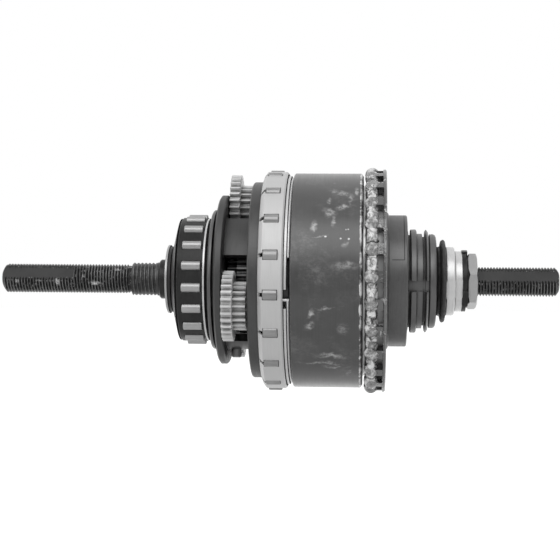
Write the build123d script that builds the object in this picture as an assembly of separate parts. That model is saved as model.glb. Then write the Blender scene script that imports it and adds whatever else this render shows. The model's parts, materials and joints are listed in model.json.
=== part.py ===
from build123d import *

import os
from math import acos, cos, pi, radians, sin, sqrt, tan

# Internal assembly of an eight-speed bicycle hub gear, without its hub shell.
#
# Millimetres. +X runs along the axle towards the drive side, +Z is up, and the origin is the middle of
# the axle. Angles are degrees about +X, from +Y towards +Z. The hub stands in its fourth gear: the input
# stage runs at its reduction, with sun gear 1 locked, and the overdrive stage has sun gear 4 locked.

# Axle
AXLE_HALF = 92.0
THREAD_R = 4.7625  # 3/8 inch cycle thread
END_THREAD_R = 4.7  # the thread's crests are lower beside the flats
END_INSET = 1.8  # how far back from each tip the rounding starts
TIP_R = 2.4
FLAT_DISTANCE = 3.9
FLAT_ANGLE = 151.0
LEFT_FLAT_END = -67.6
LEFT_NECK = (-48.3, -40.0)
NECK_R = 5.4
STOP_RING_X = (-39.2, -36.3)
STOP_RING_R = (5.0, 6.5)
THRUST_WASHER_X = (-36.3, -35.6)
THRUST_WASHER_R = 11.36
LEFT_SEAL_END = -34.6
LEFT_SEAL_R = 10.9
JOURNAL_R = 6.4
CORE_X = (-22.0, 24.0)
CORE_R = 7.2
SPRING_SEAT_R = 6.2
RIGHT_THREAD_START = 44.0

# Gears: every planet stands at half of this tooth sum from the axle
MODULE = 0.7
TOOTH_SUM = 69
PLANET_CIRCLE = MODULE * TOOTH_SUM / 2
PRESSURE = radians(20)
ADDENDUM = 0.95 * MODULE
RING_ADDENDUM = 0.75 * MODULE
DEDENDUM = 1.15 * MODULE
THINNING = 0.06  # taken off each tooth's thickness, which gives the backlash
PLANET_ANGLES = (200.2, 320.2, 80.2)
PIN_R = 2.5
PIN_RUNNING = 0.03

# Sections of the overdrive planets: teeth and span along X, and the sun gear that each one turns on
CLUSTER = ((30, -15.7, -12.4), (20, -12.4, -8.3), (15, -8.3, 0.6))
INPUT_PLANET = ((15, 3.7, 8.2), (23, 8.2, 14.4))
SUNS = {
    "sun_gear_1": (54, 3.9, 7.9),
    "sun_gear_2": (39, -15.5, -12.6),
    "sun_gear_3": (49, -12.2, -8.5),
    "sun_gear_4": (54, -8.1, -4.5),
}
RING_2_TEETH = 84
RING_1_TEETH = 92

# Pawls on the axle that lock the sun gears: pivot across and up, heel, length, thickness, angles
SUN_PAWL = dict(across=-3.4, up=4.6, heel=0.9, length=5.2, thick=1.5, raised=50, folded=18)
SUN_PAWL_WIDTH = 2.6
SUN_BORE = 8.3
SUN_NOTCHES = 10
SUN_PAWL_AT = {"sun_gear_1": (270, -1), "sun_gear_2": (90, 1), "sun_gear_3": (270, 1),
               "sun_gear_4": (90, 1)}
LOCKED = ("sun_gear_1", "sun_gear_4")

# Pawls on the driver that turn the drum
DRIVER_PAWL = dict(across=-4.2, up=14.2, heel=1.1, length=6.0, thick=1.8, raised=44, folded=18)
DRIVER_PAWL_ANGLES = (30, 150, 270)
DRIVER_PAWL_X = (25.0, 27.6)
DRUM_RATCHET_BORE = 17.5
DRUM_NOTCHES = 12

# Selector sleeve on the axle
SLEEVE_R = (7.26, 7.9)
SLEEVE_X = (-15.8, 45.6)
SLEEVE_TURN = 15
SLEEVE_PAWL_HALF_ANGLE = 16

# Roller clutches
ROLLERS = 18
ROLLER_START = 187.5
ROLLER_GAP = 0.05
LEFT_ROLLER_R = 1.6
LEFT_ROLLER_CIRCLE = 19.9
LEFT_ROLLER_X = (-29.7, -23.5)
MAIN_ROLLER_R = 2.0
MAIN_ROLLER_CIRCLE = 34.4
MAIN_ROLLER_X = (-2.6, 1.9)

# Planet carrier
PLATE_R = 27.9
LEFT_PLATE_X = (-18.8, -16.0)
WEB_X = (1.0, 3.2)
END_PLATE_X = (15.0, 17.6)
PILLAR_ANGLES = (140.2, 260.2, 20.2)
PILLAR_HALF_ANGLE = 20
PILLAR_R = (20.2, 23.0)
INNER_PILLAR_R = 27.0
HUB_R = 9.15
HUB_LEFT = -33.5
SCREW_CIRCLE = 23.6
STOP_PIN_ANGLE = 267.0
STOP_PIN_X = -13.4
STOP_PIN_TOP = 25.8

# Drum and its bearing
DRUM_X = (5.6, 28.2)
THRUST_RING_X = (5.7, 6.3)
DRUM_R = 35.25
DRUM_BORE = 34.2
DRUM_WALL_X = 24.5
BALL_R = 2.38
BALLS = 26
BALL_START = 178.0
BALL_CIRCLE = 34.75
BALL_X = 31.0
RACE_END = 35.3

# Driver and the cone bearing
DRIVER_BORE = 8.6
DRIVER_SEAT_R = 16.0
DRIVER_END = 51.8
LUG_R = 17.0
LUG_NOTCH_ANGLES = (186, 306, 66)
LUG_NOTCH_WIDTH = 3.6
CAP_X = (35.5, 42.4)
CAP_R = 21.63
CONE_BALL_R = 1.985
CONE_BALLS = 12
CONE_BALL_CIRCLE = 10.3
CONE_BALL_X = 49.1
BALL_PLAY = 0.04

# Cone, spacer, lock washer and lock nut on the drive side
CONE_START = 46.4
CONE_NECK_R = 9.1
SEAL_X = (52.9, 55.0)
SEAL_R = 13.7
SEAL_COLLAR = (52.1, 11.4)
CONE_END = 57.9
CONE_FLAT_ANGLE = 195.4
SPACER_END = 60.4
NUT_X = (62.3, 65.2)
NUT_CORNER_R = 9.5
NUT_CORNER_ANGLE = 165.7

EVERYTHING = 60.0  # larger than any radius here


# ---- shapes shared by many parts

def at(angle, radius):
    """The (y, z) point at an angle and radius from the axle."""
    return radius * cos(radians(angle)), radius * sin(radians(angle))


def turned(*outline):
    """A solid turned about the axle from its (x, radius) corners."""
    return revolve(make_face(Polyline(*outline, close=True)), Axis.X)


def tube(span, inner, outer):
    return turned((span[0], inner), (span[1], inner), (span[1], outer), (span[0], outer))


def rod(span, radius, y=0.0, z=0.0):
    """A cylinder along X."""
    length = span[1] - span[0]
    return Pos(span[0] + length / 2, y, z) * Rot(0, 90, 0) * Cylinder(radius, length)


def prism(span, corners):
    """A straight solid along X with the given (y, z) corners."""
    outline = make_face(Polyline(*corners, close=True))
    return extrude(Plane.YZ.offset(span[0]) * outline, amount=span[1] - span[0])


def sector(span, inner, outer, middle, half_angle):
    """A piece of a ring, with straight sides, between two radii."""
    reach = outer / cos(radians(half_angle)) + 1
    wedge = prism(span, [(0, 0), at(middle - half_angle, reach), at(middle + half_angle, reach)])
    return tube(span, inner, outer) & wedge


def regular(span, sides, apothem, corner_angle):
    """A regular prism along X."""
    corner = apothem / cos(pi / sides)
    step = 360 / sides
    return prism(span, [at(corner_angle + step * i, corner) for i in range(sides)])


def key(span, angle, inner, outer, width):
    """A radial block with parallel sides."""
    half = width / 2
    corners = [(inner, -half), (outer, -half), (outer, half), (inner, half)]
    turn = radians(angle)
    return prism(span, [(r * cos(turn) - w * sin(turn), r * sin(turn) + w * cos(turn))
                        for r, w in corners])


def torus(x, circle, radius):
    return Pos(x, 0, 0) * Rot(0, 90, 0) * Torus(circle, radius)


def balls(x, circle, radius, count, start):
    """Balls evenly spaced on a circle round the axle."""
    step = 360 / count
    return [Pos(x, *at(start + step * i, circle)) * Sphere(radius) for i in range(count)]


def coil(span, radius, wire, turns):
    """A helical spring about the axle."""
    height = span[1] - span[0] - wire
    path = Plane.YZ.offset(span[0] + wire / 2) * Helix(height / turns, height, radius)
    section = Plane(origin=path @ 0, z_dir=path % 0) * Circle(wire / 2)
    return sweep(section, path=path)


# ---- gear teeth

def involute(radius, base):
    """The involute function of the pressure angle at a radius."""
    angle = acos(min(1.0, base / radius))
    return tan(angle) - angle


def flank_angle(teeth, radius, thickening):
    """Half the angle that a tooth, or a ring gear's tooth space, takes up at a radius."""
    pitch_r = MODULE * teeth / 2
    base = pitch_r * cos(PRESSURE)
    lean = involute(pitch_r, base) - involute(max(radius, base), base)
    return pi / (2 * teeth) + thickening / (2 * pitch_r) + lean


def toothed_face(teeth, phase, root, tip, thickening):
    """A gear's outline as a face. phase is the angle of one tooth's middle, in degrees."""
    base = MODULE * teeth / 2 * cos(PRESSURE)
    start = max(root, base)
    radii = (start, (start + tip) / 2, tip)
    half = [flank_angle(teeth, r, thickening) for r in radii]
    step = 2 * pi / teeth

    def point(radius, angle):
        return radius * cos(angle), radius * sin(angle)

    edges = []
    for i in range(teeth):
        middle = radians(phase) + step * i
        low = [point(r, middle - h) for r, h in zip(radii, half)]
        high = [point(r, middle + h) for r, h in zip(radii, half)]
        if root < base - 1e-6:
            edges.append(Line(point(root, middle - half[0]), low[0]))
        edges.append(ThreePointArc(*low))
        edges.append(ThreePointArc(low[2], point(tip, middle), high[2]))
        edges.append(ThreePointArc(*reversed(high)))
        if root < base - 1e-6:
            edges.append(Line(high[0], point(root, middle + half[0])))
        gap = middle + step / 2
        edges.append(ThreePointArc(point(root, middle + half[0]), point(root, gap),
                                   point(root, middle + step - half[0])))
    return Face(Wire(edges))


def toothed(span, face, y=0.0, z=0.0):
    """A toothed face drawn out along X."""
    placed = Plane(origin=(span[0], y, z), x_dir=(0, 1, 0), z_dir=(1, 0, 0)) * face
    return extrude(placed, amount=span[1] - span[0], dir=(1, 0, 0))


def spur(teeth, phase):
    pitch_r = MODULE * teeth / 2
    return toothed_face(teeth, phase, pitch_r - DEDENDUM, pitch_r + ADDENDUM, -THINNING)


def ring_space(teeth, phase):
    """The space inside a ring gear. phase is the middle of one space between teeth."""
    pitch_r = MODULE * teeth / 2
    return toothed_face(teeth, phase, pitch_r - RING_ADDENDUM, pitch_r + DEDENDUM, THINNING)


def sun_phase(sun_teeth, planet_teeth):
    """The angle of a sun gear's tooth that meshes with planets whose tooth points along +Y."""
    angle = PLANET_ANGLES[0]
    return angle + (planet_teeth * (angle + 180) - 180) / sun_teeth


def ring_phase(ring_teeth, planet_teeth):
    angle = PLANET_ANGLES[0]
    return angle - planet_teeth * angle / ring_teeth


def stepped_planet(sections, angle):
    """Gears of several sizes on one blank, with a bore that runs on its pin."""
    y, z = at(angle, PLANET_CIRCLE)
    blank = Part()
    for teeth, left, right in sections:
        blank += toothed((left, right), spur(teeth, 0), y, z)
    span = (sections[0][1], sections[-1][2])
    return blank - rod((span[0] - 1, span[1] + 1), PIN_R + PIN_RUNNING, y, z)


# ---- pawls and the notches that they catch

def placed(corners, angle, side):
    """Turns points given across and up from the axle into (y, z), at an angle, mirrored if side is -1."""
    c, s = cos(radians(angle)), sin(radians(angle))
    return [(up * c - side * across * s, up * s + side * across * c) for across, up in corners]


def pawl_bar(spec, lift):
    """The four corners of a pawl's bar, heel first, and its pointing direction."""
    turn = radians(lift)
    along, square = (cos(turn), sin(turn)), (-sin(turn), cos(turn))
    heel = spec["across"], spec["up"]
    nose = heel[0] + spec["length"] * along[0], heel[1] + spec["length"] * along[1]
    half = spec["thick"] / 2
    corners = [(p[0] + k * half * square[0], p[1] + k * half * square[1])
               for p, k in ((heel, -1), (nose, -1), (nose, 1), (heel, 1))]
    return corners, along, square


def pawl(spec, span, angle, side, lift):
    corners, _, _ = pawl_bar(spec, lift)
    heel = placed([(spec["across"], spec["up"])], angle, side)[0]
    return prism(span, placed(corners, angle, side)) + rod(span, spec["heel"], *heel)


def pawl_pocket(spec, span, angle, side, right):
    """The pocket that a pawl's heel turns in, open to the outside."""
    play = 0.05
    left = spec["across"] - spec["heel"] - play
    floor = spec["up"] - spec["heel"] - play
    top = spec["up"] + spec["length"]
    corners = [(left, floor), (right, floor), (right, top), (left, top)]
    return prism(span, placed(corners, angle, side))


def ratchet_notch(spec, span, angle, side, bore):
    """A notch with one steep face for the raised pawl's nose and one long ramp."""
    gap, over, flat = 0.12, 0.3, 0.35
    corners, along, square = pawl_bar(spec, spec["raised"])
    top = corners[2]
    peak = (top[0] + gap * along[0] + over * square[0], top[1] + gap * along[1] + over * square[1])
    depth = bore - 0.4
    foot = peak[0] - (peak[1] - depth) * square[0] / square[1], depth
    ramp_start = peak[0] - flat, peak[1]
    ramp_foot = ramp_start[0] - 1.25 * (peak[1] - depth), depth
    return prism(span, placed([foot, peak, ramp_start, ramp_foot], angle, side))


def ratchet(spec, span, angle, side, bore, count):
    return [ratchet_notch(spec, span, angle + 360 / count * i, side, bore) for i in range(count)]


# ---- parts on the axle

def middle_of(span):
    return (span[0] + span[1]) / 2


def sun_pawl_span(sun):
    middle = middle_of(SUNS[sun][1:])
    return middle - SUN_PAWL_WIDTH / 2, middle + SUN_PAWL_WIDTH / 2


def rounded_tips():
    """The space that a rounded axle fits in: a ball centred on the axis rounds each tip."""
    centre = AXLE_HALF - (END_THREAD_R**2 - TIP_R**2 + END_INSET**2) / (2 * END_INSET)
    ball_r = sqrt((AXLE_HALF - centre)**2 + TIP_R**2)
    space = rod((-centre, centre), 2 * THREAD_R)
    for side in (-1, 1):
        space += Pos(side * centre, 0, 0) * Sphere(ball_r)
    return space


def make_axle():
    flats = (-AXLE_HALF, LEFT_FLAT_END), (NUT_X[1], AXLE_HALF)
    body = turned(
        (-AXLE_HALF, 0), (-AXLE_HALF, END_THREAD_R), (LEFT_FLAT_END, END_THREAD_R),
        (LEFT_FLAT_END, THREAD_R), (LEFT_NECK[0], THREAD_R), (LEFT_NECK[0] + 0.4, NECK_R),
        (LEFT_NECK[1], NECK_R), (LEFT_NECK[1], 5.55), (STOP_RING_X[0], 5.55),
        (STOP_RING_X[0], STOP_RING_R[0]), (STOP_RING_X[1], STOP_RING_R[0]),
        (STOP_RING_X[1], JOURNAL_R), (CORE_X[0], JOURNAL_R), (CORE_X[0], CORE_R),
        (CORE_X[1], CORE_R), (CORE_X[1], SPRING_SEAT_R), (RIGHT_THREAD_START, SPRING_SEAT_R),
        (RIGHT_THREAD_START, THREAD_R), (NUT_X[1], THREAD_R), (NUT_X[1], END_THREAD_R),
        (AXLE_HALF, END_THREAD_R), (AXLE_HALF, 0))
    body &= rounded_tips()
    for span in flats:
        for angle in (FLAT_ANGLE, FLAT_ANGLE + 180):
            body -= key(span, angle, FLAT_DISTANCE, 2 * THREAD_R, 4 * THREAD_R)
    for sun, (angle, side) in SUN_PAWL_AT.items():
        low, high = sun_pawl_span(sun)
        body -= pawl_pocket(SUN_PAWL, (low - 0.1, high + 0.1), angle, side, 3.0)
    return body


def make_stop_ring():
    """Open clip with bevelled edges, in the axle's groove."""
    low, high = STOP_RING_X
    ring = turned((low, STOP_RING_R[0]), (low, STOP_RING_R[1] - 0.5), (low + 0.5, STOP_RING_R[1]),
                  (high - 0.2, STOP_RING_R[1]), (high, STOP_RING_R[1] - 0.2),
                  (high, STOP_RING_R[0]))
    return ring - key((low, high), 20, STOP_RING_R[0] - 2, EVERYTHING, 3.0)


def make_sun(name):
    teeth, left, right = SUNS[name]
    mates = dict(zip(("sun_gear_2", "sun_gear_3", "sun_gear_4"), CLUSTER))
    planet_teeth = mates.get(name, INPUT_PLANET[0])[0]
    gear = toothed((left, right), spur(teeth, sun_phase(teeth, planet_teeth)))
    gear -= rod((left - 1, right + 1), SUN_BORE)
    angle, side = SUN_PAWL_AT[name]
    gear -= ratchet(SUN_PAWL, (left - 1, right + 1), angle, side, SUN_BORE, SUN_NOTCHES)
    return gear


def make_sun_pawl(sun):
    angle, side = SUN_PAWL_AT[sun]
    lift = SUN_PAWL["raised"] if sun in LOCKED else SUN_PAWL["folded"]
    return pawl(SUN_PAWL, sun_pawl_span(sun), angle, side, lift)


def make_sleeve():
    """Selector tube with slots at its drive-side end, and a window over each locked sun gear's pawl.

    A window clears its pawl, raised or folded, anywhere in the selector's turn.
    """
    body = tube(SLEEVE_X, *SLEEVE_R)
    for sun in LOCKED:
        angle, side = SUN_PAWL_AT[sun]
        low, high = sun_pawl_span(sun)
        window = sector((low - 0.2, high + 0.2), SLEEVE_R[0] - 1, SLEEVE_R[1] + 1,
                        angle - side * 4, SLEEVE_PAWL_HALF_ANGLE + SLEEVE_TURN)
        body -= window
    for angle in (0, 90, 180, 270):
        body -= key((SLEEVE_X[1] - 3, SLEEVE_X[1] + 1), angle, 6, 9, 3)
    return body


def make_cone():
    """Drive-side cone: its race runs inside the driver, and its outer end has two spanner flats."""
    body = turned(
        (CONE_START, THREAD_R), (CONE_START, 6.6), (48.1, 9.0), (48.1, 9.4), (51.5, 9.4),
        (SEAL_COLLAR[0], CONE_NECK_R), (SEAL_X[1], CONE_NECK_R), (SEAL_X[1], 11.0),
        (SEAL_X[1] + 0.3, 11.26), (CONE_END - 0.35, 11.26), (CONE_END, 10.9), (CONE_END, THREAD_R))
    body -= torus(CONE_BALL_X, CONE_BALL_CIRCLE, CONE_BALL_R + BALL_PLAY)
    for angle in (CONE_FLAT_ANGLE, CONE_FLAT_ANGLE + 180):
        body -= key((SEAL_X[1], CONE_END), angle, 10.8, EVERYTHING, EVERYTHING)
    return body


def make_seal():
    """Rubber lip seal on the cone, with a collar that faces the driver."""
    low, high = SEAL_X
    collar_x, collar_r = SEAL_COLLAR
    return turned((collar_x, CONE_NECK_R), (high, CONE_NECK_R), (high, 12.6), (high - 0.5, SEAL_R),
                  (low + 0.9, SEAL_R), (low + 0.3, 13.2), (low, 12.4), (low, collar_r),
                  (collar_x, collar_r))


def make_spacer():
    body = turned((CONE_END, THREAD_R), (CONE_END, 9.7), (CONE_END + 0.25, 9.9),
                  (SPACER_END - 0.25, 9.9), (SPACER_END, 9.7), (SPACER_END, THREAD_R))
    for angle in (CONE_FLAT_ANGLE, CONE_FLAT_ANGLE + 180):
        body -= key((CONE_END, SPACER_END), angle, 9.35, EVERYTHING, EVERYTHING)
    return body


def make_lock_washer():
    """Tabbed washer: a flat ring, with three tabs bent over the spacer's side of the lock nut."""
    low, high = SPACER_END, NUT_X[0]
    body = tube((low, high), THREAD_R, 8.6) + tube((low, low + 1.2), 8.6, 9.9)
    for angle in (95, 215, 335):
        body += sector((low, high - 0.2), 8.6, 10.3, angle, 16)
    return body


def make_lock_nut():
    apothem = NUT_CORNER_R * cos(pi / 6)
    low, high = NUT_X
    bevel = turned((low, THREAD_R), (low, apothem + 0.3), (low + 0.45, NUT_CORNER_R),
                   (high - 0.45, NUT_CORNER_R), (high, apothem + 0.3), (high, THREAD_R))
    return regular(NUT_X, 6, apothem, NUT_CORNER_ANGLE) & bevel


# ---- planet carrier and the left roller clutch

def make_carrier():
    """Left plate and hub, three pillars and a middle web."""
    body = turned((HUB_LEFT, 8.0), (HUB_LEFT, HUB_R), (-19.95, HUB_R), (-19.95, 21.0),
                  (LEFT_PLATE_X[0], 21.0), (LEFT_PLATE_X[0], PLATE_R - 0.9),
                  (LEFT_PLATE_X[0] + 0.6, PLATE_R), (LEFT_PLATE_X[1] - 0.5, PLATE_R),
                  (LEFT_PLATE_X[1], PLATE_R - 0.5), (LEFT_PLATE_X[1], 8.0))
    for angle in PILLAR_ANGLES:
        body += sector((LEFT_PLATE_X[1], WEB_X[0]), *PILLAR_R, angle, PILLAR_HALF_ANGLE)
        body += sector((WEB_X[1], END_PLATE_X[0]), PILLAR_R[0], INNER_PILLAR_R, angle,
                       PILLAR_HALF_ANGLE)
    body += tube(WEB_X, 8.4, PLATE_R)
    for angle in PLANET_ANGLES:
        body -= rod((-20, 5), PIN_R, *at(angle, PLANET_CIRCLE))
    for angle in PILLAR_ANGLES:
        body -= rod((9, 15), 1.25, *at(angle, SCREW_CIRCLE))
    return body


def make_end_plate():
    """Right plate of the carrier, with slots that the clutch ring's dogs can enter."""
    body = tube(END_PLATE_X, 9.5, PLATE_R)
    for angle in PLANET_ANGLES:
        body -= rod((14, 19), PIN_R, *at(angle, PLANET_CIRCLE))
    for angle in PILLAR_ANGLES:
        y, z = at(angle, SCREW_CIRCLE)
        body -= rod((14, 19), 1.25, y, z) + rod((16.2, 19), 2.3, y, z)
    for angle in (60, 180, 300):
        body -= sector((16.0, 19), 12.6, 15.8, angle, 20)
    return body


def make_screws():
    """Three cap screws with hexagon sockets."""
    screws = []
    for angle in PILLAR_ANGLES:
        y, z = at(angle, SCREW_CIRCLE)
        body = rod((9, 16.2), 1.25, y, z) + rod((16.2, END_PLATE_X[1]), 2.3, y, z)
        corners = [(y + 1.1 * cos(pi / 3 * i), z + 1.1 * sin(pi / 3 * i)) for i in range(6)]
        screws.append(body - prism((16.6, 18), corners))
    return screws


def make_pins():
    """Planet pins with a small bevel at each end."""
    pins = []
    for angle in PLANET_ANGLES:
        y, z = at(angle, PLANET_CIRCLE)
        pins.append(rod((LEFT_PLATE_X[0], END_PLATE_X[1]), PIN_R, y, z))
    return pins


def roller_angles():
    return [ROLLER_START + 360 / ROLLERS * i for i in range(ROLLERS)]


def rollers(span, radius, circle):
    return [rod(span, radius, *at(angle, circle)) for angle in roller_angles()]


def make_left_cam():
    """Eighteen flats under the rollers, and a round end for the retaining ring."""
    flat = LEFT_ROLLER_CIRCLE - LEFT_ROLLER_R - ROLLER_GAP
    body = regular((-30.4, -23.05), ROLLERS, flat, ROLLER_START + 180 / ROLLERS)
    body += rod((-31.9, -21.2), 17.0)
    return body - rod((-40, -10), HUB_R)


def make_left_cage():
    low, high = -31.8, -23.1
    body = turned((low, 18.9), (low, 19.7), (low + 0.7, 20.4), (high, 20.4), (high, 18.9))
    window = (LEFT_ROLLER_X[0] - 0.1, LEFT_ROLLER_X[1] + 0.1)
    return body - rollers(window, LEFT_ROLLER_R + 0.06, LEFT_ROLLER_CIRCLE)


def make_left_cap():
    """Dished steel cap over the end of the left clutch."""
    return turned((-34.2, HUB_R), (-34.2, 11.4), (-31.95, 20.1), (-31.9, 20.1), (-31.9, 18.4),
                  (-32.0, 17.6), (-33.4, 11.2), (-33.4, HUB_R))


def make_left_bush():
    """Flanged bronze bush that the carrier turns on."""
    return tube((HUB_LEFT - 1.0, LEFT_PLATE_X[1]), JOURNAL_R + 0.03, 8.0) - rod(
        (CORE_X[0] - 0.3, 0), CORE_R + 0.05)


def make_guard_plate():
    low, high = -21.2, -19.95
    return turned((low, HUB_R), (low, 22.6), (low + 0.45, 23.05), (high, 23.05), (high, HUB_R))


def make_stop_pin():
    """Round-headed pin in the lower pillar, with a slot across its head."""
    y, z = at(STOP_PIN_ANGLE, 1.0)
    axis = Plane(origin=(STOP_PIN_X, 0, 0), x_dir=(1, 0, 0), z_dir=(0, y, z))
    height = STOP_PIN_TOP - PILLAR_R[1] + 0.3
    head = Pos(0, 0, STOP_PIN_TOP - height / 2) * Cylinder(1.6, height)
    head = chamfer(head.edges().sort_by(Axis.Z)[-1], 0.35)
    slot = Pos(0, 0, STOP_PIN_TOP) * Rot(0, 0, 35) * Box(5, 0.6, 1.2)
    return axis * (head - slot) - tube((-20, -5), 0, PILLAR_R[1])


# ---- overdrive ring gear and the main roller clutch

def make_ring_gear_2():
    """Ring gear whose outside is the cam of the main roller clutch."""
    cam = (-3.3, 3.3)
    flat = MAIN_ROLLER_CIRCLE - MAIN_ROLLER_R - ROLLER_GAP
    body = turned((-7.8, 29), (-7.8, 31.9), (-7.4, 32.3), (cam[1], 32.3), (cam[1], 31.6),
                  (5.3, 31.6), (5.3, 30.6), (0.7, 30.6), (0.7, 29), (0.7, 28), (-7.8, 28))
    body += regular(cam, ROLLERS, flat, ROLLER_START + 180 / ROLLERS) - rod((-10, 10), 31)
    space = ring_space(RING_2_TEETH, ring_phase(RING_2_TEETH, CLUSTER[2][0]))
    return body - toothed((-8, 1), space)


def make_main_cage():
    """Pressed steel cage: a folded left rim, a window for each roller and a relief slot beside it."""
    outer, inner = 35.7, 34.9
    body = turned((-4.3, 32.6), (-4.3, 33.6), (-3.9, 34.6), (-3.0, outer), (3.1, outer),
                  (3.6, outer - 0.5), (3.6, inner), (-2.9, inner), (-3.5, 33.9), (-3.5, 32.6))
    window = (MAIN_ROLLER_X[0] - 0.1, MAIN_ROLLER_X[1] + 0.1)
    body -= rollers(window, MAIN_ROLLER_R + 0.06, MAIN_ROLLER_CIRCLE)
    for angle in roller_angles():
        body -= key((-4.5, -2.5), angle, 33.4, EVERYTHING, 1.3)
    return body


def make_snap_ring():
    return tube((3.8, 4.6), 31.6, 34.4) - sector((3, 5), 30, 36, 190, 5)


def make_cage_spring():
    """Open wire ring: one leg hooks over towards the cage, and the other seats on the ring gear."""
    wire, circle, x = 0.45, 33.35, 5.1
    start, stop = 190, 168
    ring = torus(x, circle, wire) - sector((x - 1, x + 1), 30, 36, (start + stop) / 2,
                                           (start - stop) / 2)
    hook = rod((3.3, x + wire), wire, *at(start + 0.7, circle))
    leg_y, leg_z = at(stop - 0.7, 1.0)
    leg = Plane(origin=(x, 31.7 * leg_y, 31.7 * leg_z), z_dir=(0, leg_y, leg_z)) * Cylinder(
        wire, circle - 31.7, align=(Align.CENTER, Align.CENTER, Align.MIN))
    return ring + hook + leg


# ---- drum, its ring gear and the large bearing

def make_drum():
    low, high = DRUM_X
    body = turned((low, DRUM_BORE), (low, DRUM_R - 0.4), (low + 0.4, DRUM_R), (high - 0.7, DRUM_R),
                  (high, DRUM_R - 1.0), (high, DRUM_RATCHET_BORE), (DRUM_WALL_X, DRUM_RATCHET_BORE),
                  (DRUM_WALL_X, DRUM_BORE))
    span = (DRUM_WALL_X - 1, high - 0.4)
    notches = ratchet(DRIVER_PAWL, span, DRIVER_PAWL_ANGLES[0], -1, DRUM_RATCHET_BORE, DRUM_NOTCHES)
    return body - notches


def make_ring_gear_1():
    span = (8.0, 14.6)
    space = ring_space(RING_1_TEETH, ring_phase(RING_1_TEETH, INPUT_PLANET[1][0]))
    return rod(span, DRUM_BORE) - toothed((7, 16), space)


def make_race():
    """Inner race of the large bearing, turning on the driver."""
    body = turned((DRUM_X[1], DRIVER_SEAT_R + 0.03), (DRUM_X[1], 31.3), (29.0, 31.3), (29.3, 33.3),
                  (33.9, 33.0), (RACE_END, 32.6), (RACE_END, DRIVER_SEAT_R + 0.03))
    return body - torus(BALL_X, BALL_CIRCLE, BALL_R + 0.03)


def make_retainer():
    """Rim with a cupped finger behind each ball."""
    step = 360 / BALLS
    body = turned((34.5, 33.5), (34.5, 36.3), (34.7, 36.6), (35.3, 36.6), (35.6, 36.2),
                  (35.6, 33.1), (35.4, 33.1), (35.4, 33.5))
    for i in range(BALLS):
        body += sector((31.9, 34.5), 33.7, 36.2, BALL_START + step * i, 2.7)
    return body - balls(BALL_X, BALL_CIRCLE, BALL_R + 0.05, BALLS, BALL_START)


# ---- driver, its pawls, dust cap and clutch

def make_driver():
    """Splined tube: pawl flange inside the drum, race seat, and the sprocket lugs outside."""
    flange = (24.6, 28.0)
    body = turned(
        (20.2, DRIVER_BORE), (20.2, 11.2), (flange[0], 11.2), (flange[0], 17.2), (flange[1], 17.2),
        (flange[1], DRIVER_SEAT_R), (35.4, DRIVER_SEAT_R), (35.4, 15.5), (CAP_X[1], 15.5),
        (CAP_X[1], 16.4), (42.8, 16.4), (42.8, 15.2), (43.5, 15.2), (43.5, 16.8), (43.7, LUG_R),
        (45.2, LUG_R), (45.5, 16.6), (45.5, 15.6), (47.3, 15.6), (47.3, 14.6), (48.2, 14.6),
        (48.2, 16.5), (48.6, LUG_R), (49.2, 16.2), (49.2, 14.5), (49.7, 14.5), (49.7, 15.4),
        (50.8, 15.5), (51.5, 15.2), (DRIVER_END, 14.6), (DRIVER_END, 11.0), (47.6, 11.0),
        (47.6, DRIVER_BORE))
    body -= torus(CONE_BALL_X, CONE_BALL_CIRCLE, CONE_BALL_R + BALL_PLAY)
    for angle in LUG_NOTCH_ANGLES:
        body -= key((CAP_X[1] + 0.1, 49.5), angle, 14.9, EVERYTHING, LUG_NOTCH_WIDTH)
    for i in range(6):
        body += sector((20.2, flange[0]), 11.2, 12.0, 60 * i, 12)
    for angle in DRIVER_PAWL_ANGLES:
        low, high = DRIVER_PAWL_X
        body -= pawl_pocket(DRIVER_PAWL, (low - 0.1, high + 0.1), angle, -1, 3.6)
    return body


def make_dust_cap():
    low, high = CAP_X
    return turned((low, 15.5), (low, 22.4), (low + 0.7, 22.4), (low + 1.0, CAP_R),
                  (high - 0.3, CAP_R), (high, CAP_R - 0.3), (high, 15.5))


def make_clutch_ring():
    """Ring on the driver's splines, with three dogs towards the carrier."""
    body = tube((19.9, 21.9), 12.1, 15.5)
    for i in range(6):
        body += sector((19.9, 21.9), 11.3, 12.1, 60 * i + 30, 12)
    for angle in (60, 180, 300):
        body += sector((18.9, 19.9), 13.0, 15.5, angle, 16)
    return body


def make_cone_retainer():
    body = tube((49.7, 51.5), 9.75, 10.75)
    return body - balls(CONE_BALL_X, CONE_BALL_CIRCLE, CONE_BALL_R + 0.05, CONE_BALLS, 0)


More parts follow.
